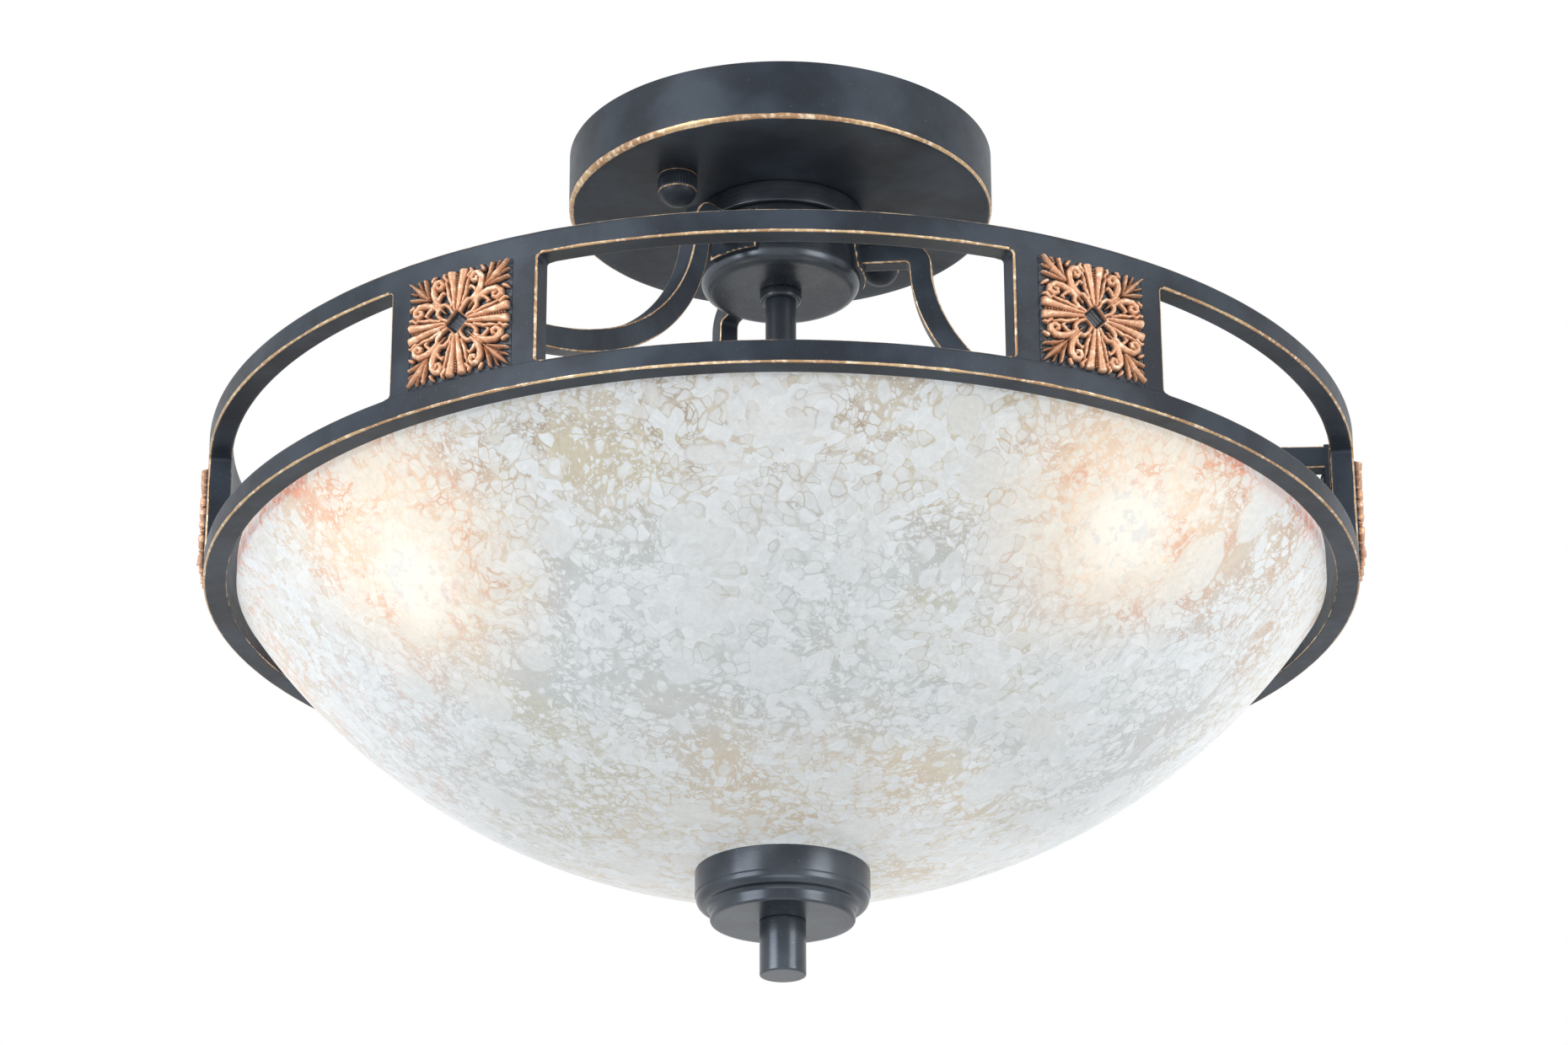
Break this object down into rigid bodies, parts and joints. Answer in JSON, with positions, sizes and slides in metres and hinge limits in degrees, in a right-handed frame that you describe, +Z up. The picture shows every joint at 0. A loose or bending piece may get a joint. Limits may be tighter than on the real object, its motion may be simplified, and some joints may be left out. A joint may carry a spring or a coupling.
{
  "type": "ceiling light",
  "caption": "Semi-flush ceiling light: round canopy, bent arms, windowed ring band with cast rosettes, and a marbled glass bowl held up by a finial.",
  "frame": {"origin": "centre of the ceiling plane: the middle of the strap's two ceiling screws, level with its top", "axes": "+Z up into the ceiling, the front faces -Y, +X to the right seen from the front"},
  "size_m": [0.4268, 0.42, 0.323],
  "materials": {
    "zinc_steel": "zinc plated",
    "white_plastic": "moulded",
    "brass": "plain",
    "gunmetal": "satin dark slate lacquer with edges rubbed back to copper",
    "satin_gunmetal": "smooth satin dark slate",
    "copper_relief": "copper rubbed over dark relief",
    "grey_cable": "matte",
    "porcelain": "glazed",
    "lamp_cap_metal": "plain",
    "frosted_lamp": "frosted",
    "scavo_glass": "marbled white scavo glass, satin",
    "clear_rubber": "matte"
  },
  "bodies": {
    "fixture": {"mounting_strap": "zinc_steel", "strap_studs": "zinc_steel", "strap_nuts": "zinc_steel", "block_screw": "zinc_steel", "centre_rod": "zinc_steel", "rod_nuts": "zinc_steel", "rod_washers": "zinc_steel", "lamp_nipples": "zinc_steel", "stop_plate": "zinc_steel", "terminal_block": "white_plastic", "earth_screw": "brass", "socket_shells": "brass", "socket_contacts": "brass", "canopy": "gunmetal", "rod_sleeve": "gunmetal", "arm_1": "gunmetal", "arm_2": "gunmetal", "arm_3": "gunmetal", "upper_hoop": "gunmetal", "lower_hoop": "gunmetal", "ring_post_1": "gunmetal", "ring_post_2": "gunmetal", "ring_post_3": "gunmetal", "ring_post_4": "gunmetal", "ring_post_5": "gunmetal", "ring_post_6": "gunmetal", "cluster_body": "gunmetal", "cluster_cover": "gunmetal", "hub_flange": "satin_gunmetal", "hub_cup": "satin_gunmetal", "rod_collar": "satin_gunmetal", "hub_screws": "satin_gunmetal", "ring_screws": "satin_gunmetal", "rosette_1": "copper_relief", "rosette_2": "copper_relief", "rosette_3": "copper_relief", "rosette_4": "copper_relief", "rosette_5": "copper_relief", "rosette_6": "copper_relief", "wiring": "grey_cable", "lampholder_1": "porcelain", "lampholder_2": "porcelain", "lampholder_3": "porcelain"},
    "bowl": {"glass_bowl": "scavo_glass", "upper_gasket": "clear_rubber", "lower_gasket": "clear_rubber", "finial_cup": "satin_gunmetal"},
    "knob": {"finial_knob": "satin_gunmetal"},
    "bulb_1": {"lamp_cap_1": "lamp_cap_metal", "lamp_globe_1": "frosted_lamp"},
    "bulb_2": {"lamp_cap_2": "lamp_cap_metal", "lamp_globe_2": "frosted_lamp"},
    "bulb_3": {"lamp_cap_3": "lamp_cap_metal", "lamp_globe_3": "frosted_lamp"},
    "nut_1": {"cap_nut_1": "gunmetal"},
    "nut_2": {"cap_nut_2": "gunmetal"}
  },
  "joints": [
    {"name": "bowl_lower", "type": "slide", "parent": "fixture", "child": "bowl", "axis": [0, 0, -1], "range_m": [0, 0.012]},
    {"name": "knob_turn", "type": "hinge", "parent": "bowl", "child": "knob", "pos_m": [0, 0, -0.313], "axis": [0, 0, -1], "range_deg": [0, 4325]},
    {"name": "bulb_turn_1", "type": "hinge", "parent": "fixture", "child": "bulb_1", "pos_m": [0.04213, -0.03535, -0.189], "axis": [0.766, -0.6428, 0], "range_deg": [0, 1620]},
    {"name": "bulb_turn_2", "type": "hinge", "parent": "fixture", "child": "bulb_2", "pos_m": [-0.05168, -0.01881, -0.189], "axis": [-0.9397, -0.342, 0], "range_deg": [0, 1620]},
    {"name": "bulb_turn_3", "type": "hinge", "parent": "fixture", "child": "bulb_3", "pos_m": [0.00955, 0.05416, -0.189], "axis": [0.1736, 0.9848, 0], "range_deg": [0, 1620]},
    {"name": "nut_turn_1", "type": "hinge", "parent": "fixture", "child": "nut_1", "pos_m": [-0.0382, -0.03379, -0.028], "axis": [0, 0, -1], "range_deg": [0, 2520]},
    {"name": "nut_turn_2", "type": "hinge", "parent": "fixture", "child": "nut_2", "pos_m": [0.0382, 0.03379, -0.028], "axis": [0, 0, -1], "range_deg": [0, 2520]}
  ],
  "couplings": [
    {"joint": "knob_turn", "follows": "bowl_lower", "rad_per_m": 6283.2}
  ]
}
